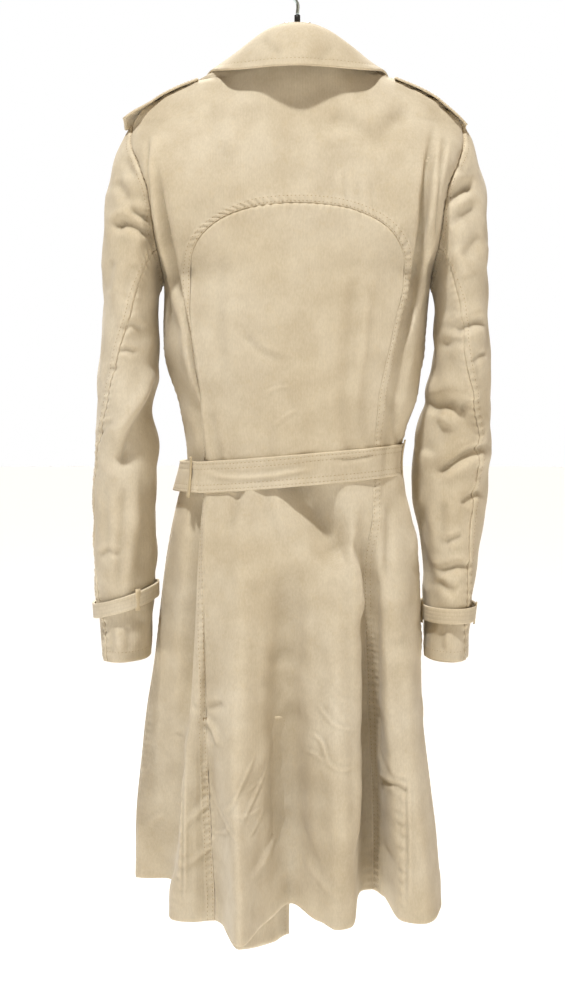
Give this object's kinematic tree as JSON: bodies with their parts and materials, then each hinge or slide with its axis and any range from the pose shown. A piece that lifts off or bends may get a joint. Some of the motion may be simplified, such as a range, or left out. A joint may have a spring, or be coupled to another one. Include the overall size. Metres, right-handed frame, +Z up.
{
  "type": "trench coat on hanger",
  "caption": "Belted knee-length cotton trench coat with an arched back seam, strapped cuffs and shoulder straps, hanging from a wire-hook hanger.",
  "frame": {"origin": "the inside top of the hanger's hook, where a rod carries it", "axes": "+Z up, -Y the side the coat's back faces, +Y the side its front faces, -X the wearer's left"},
  "size_m": [0.4617, 0.3097, 1.1075],
  "materials": {
    "cotton_gabardine": "tight woven cotton, soft sheen",
    "sewing_thread": "thread loops",
    "horn_buttons": "moulded, satin",
    "hook_steel": "drawn wire, plated",
    "ferrule_plastic": "moulded",
    "hanger_plastic": "moulded"
  },
  "bodies": {
    "root": {"back_outer": "cotton_gabardine", "back_centre": "cotton_gabardine", "vent_underlap": "cotton_gabardine", "front_right": "cotton_gabardine", "front_left": "cotton_gabardine", "lapel_right": "cotton_gabardine", "lapel_left": "cotton_gabardine", "collar_fall": "cotton_gabardine", "collar_stand": "cotton_gabardine", "sleeve_left_upper": "cotton_gabardine", "sleeve_left_under": "cotton_gabardine", "sleeve_right_upper": "cotton_gabardine", "sleeve_right_under": "cotton_gabardine", "cuff_strap_left": "cotton_gabardine", "cuff_strap_right": "cotton_gabardine", "cuff_loop_left_1": "cotton_gabardine", "cuff_loop_left_2": "cotton_gabardine", "cuff_loop_right_1": "cotton_gabardine", "cuff_loop_right_2": "cotton_gabardine", "belt": "cotton_gabardine", "belt_loop_left": "sewing_thread", "belt_loop_right": "sewing_thread", "belt_buckle": "horn_buttons", "epaulette_left": "cotton_gabardine", "epaulette_right": "cotton_gabardine", "button_1": "horn_buttons", "button_2": "horn_buttons", "button_3": "horn_buttons", "button_4": "horn_buttons", "button_5": "horn_buttons", "button_6": "horn_buttons", "hanger_body": "hanger_plastic", "hanger_ferrule": "ferrule_plastic", "hanger_hook": "hook_steel"}
  },
  "joints": []
}
